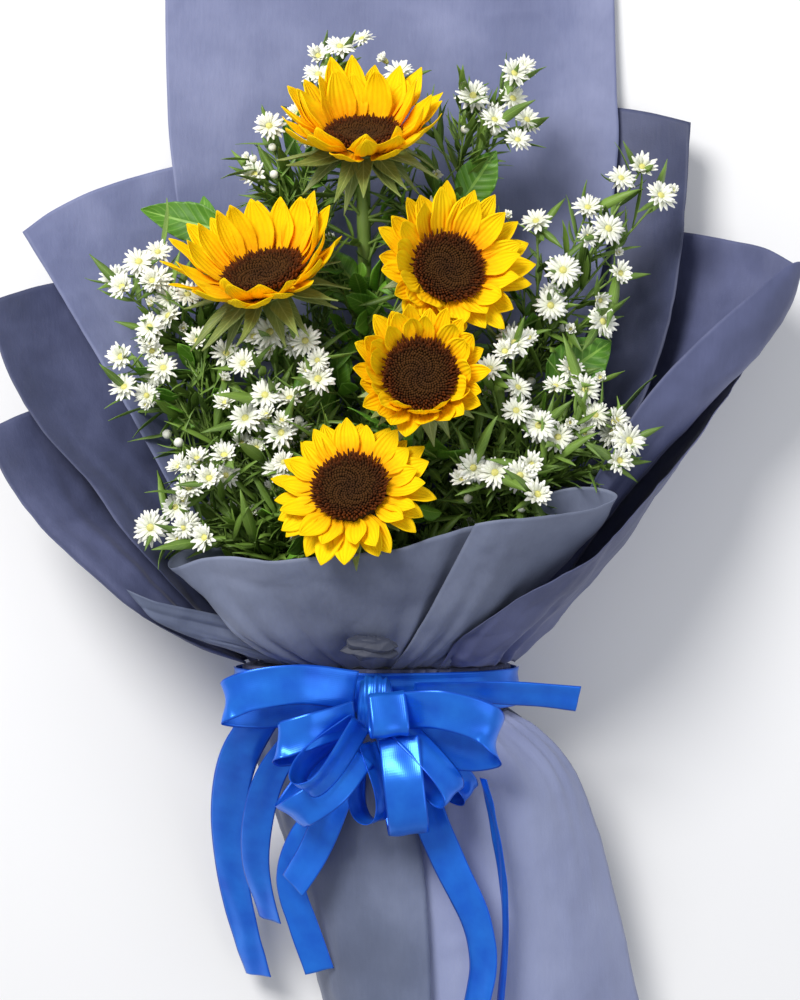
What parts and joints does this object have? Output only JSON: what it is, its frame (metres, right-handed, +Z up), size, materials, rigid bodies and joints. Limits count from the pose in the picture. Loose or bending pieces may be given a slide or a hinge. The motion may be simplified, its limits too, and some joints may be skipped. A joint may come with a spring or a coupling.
{
  "type": "hand-tied bunch of sunflowers",
  "caption": "Paper-wrapped bunch of sunflowers and small white asters, tied with a satin bow, lying on its back.",
  "frame": {"origin": "centre of the bunch's box, on the table it lies on", "axes": "+Z up from the table, +Y from the tie to the flower heads, +X to the right of someone who looks down at the flowers with their heads away from them"},
  "size_m": [0.5322, 0.7162, 0.1739],
  "materials": {
    "petal": "matt, soft",
    "seed_disc": "matt, rough",
    "stem": "satin, fresh green",
    "aster": "matt, soft",
    "leaf": "satin, fresh green",
    "wrap_paper": "matt, slightly fibrous",
    "ribbon": "satin",
    "tie": "matt twine"
  },
  "bodies": {
    "root": {"sunflower_top_disc": "seed_disc", "sunflower_upper_left_disc": "seed_disc", "sunflower_right_disc": "seed_disc", "sunflower_middle_disc": "seed_disc", "sunflower_bottom_disc": "seed_disc", "sunflower_top_petals": "petal", "sunflower_top_stem": "stem", "sunflower_upper_left_petals": "petal", "sunflower_upper_left_stem": "stem", "sunflower_right_petals": "petal", "sunflower_right_stem": "stem", "sunflower_middle_petals": "petal", "sunflower_middle_stem": "stem", "sunflower_bottom_petals": "petal", "sunflower_bottom_stem": "stem", "back_panel": "wrap_paper", "left_upper_sheet": "wrap_paper", "left_middle_sheet": "wrap_paper", "left_lower_sheet": "wrap_paper", "left_front_sheet": "wrap_paper", "right_upper_sheet": "wrap_paper", "right_middle_sheet": "wrap_paper", "right_outer_sheet": "wrap_paper", "front_collar_sheet": "wrap_paper", "collar_fold_sheet": "wrap_paper", "skirt_front_left": "wrap_paper", "skirt_front_right": "wrap_paper", "skirt_back": "wrap_paper", "stem_tie": "tie", "aster_spray_left_upper": "aster", "aster_spray_left_lower": "aster", "aster_spray_left_middle": "aster", "aster_spray_centre_left": "aster", "aster_spray_top": "aster", "aster_spray_right_top": "aster", "aster_spray_right_upper": "aster", "aster_spray_right_lower": "aster", "aster_spray_right_outer": "aster", "gathered_paper": "wrap_paper", "ribbon_knot": "ribbon", "ribbon_band_front": "ribbon", "ribbon_band_back": "ribbon", "bow_loop_upper_left": "ribbon", "bow_loop_left": "ribbon", "bow_loop_lower_left": "ribbon", "bow_loop_lower": "ribbon", "bow_loop_right": "ribbon", "ribbon_end_right": "ribbon", "tail_far_left": "ribbon", "tail_left": "ribbon", "tail_middle": "ribbon", "tail_front": "ribbon", "tail_right": "ribbon", "tail_edge": "ribbon", "paper_tuck": "wrap_paper", "leaf_top_left": "leaf", "leaf_left_upright": "leaf", "leaf_right_top": "leaf", "leaf_right_large": "leaf"}
  },
  "joints": []
}
